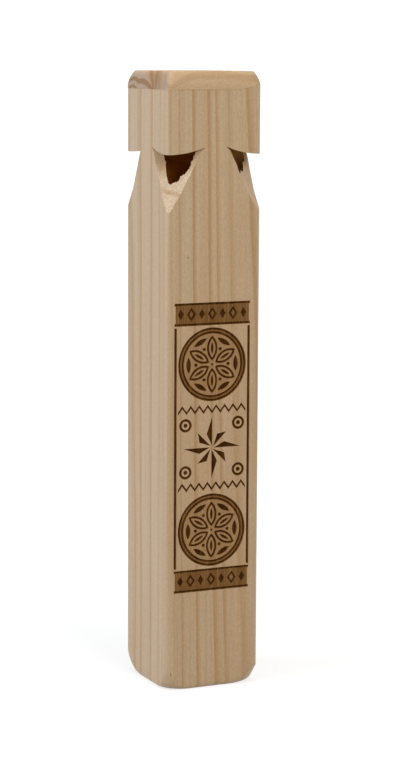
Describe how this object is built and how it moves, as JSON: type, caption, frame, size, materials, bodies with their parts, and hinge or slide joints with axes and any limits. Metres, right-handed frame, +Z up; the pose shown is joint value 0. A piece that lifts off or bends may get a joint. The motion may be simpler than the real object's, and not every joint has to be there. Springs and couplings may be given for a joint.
{
  "type": "train whistle",
  "caption": "Square wooden chime whistle that sounds like a steam train: blind bores with fipple plugs, a sound window across each corner, and a glued mouth cap with a blow hole.",
  "frame": {"origin": "centre of the closed end that the whistle stands on", "axes": "+Z up along the whistle to the mouth cap, -Y out of the wide face with the burned design, -X out of the face to its left"},
  "size_m": [0.032, 0.032, 0.1905],
  "materials": {
    "body_pine": "sanded, unvarnished",
    "cap_pine": "sanded, unvarnished",
    "plug_birch": "bare dowel"
  },
  "bodies": {
    "root": {"whistle_body": "body_pine", "mouth_cap": "cap_pine", "fipple_plug_front_left": "plug_birch", "fipple_plug_front_right": "plug_birch", "fipple_plug_back_right": "plug_birch", "fipple_plug_back_left": "plug_birch"}
  },
  "joints": []
}
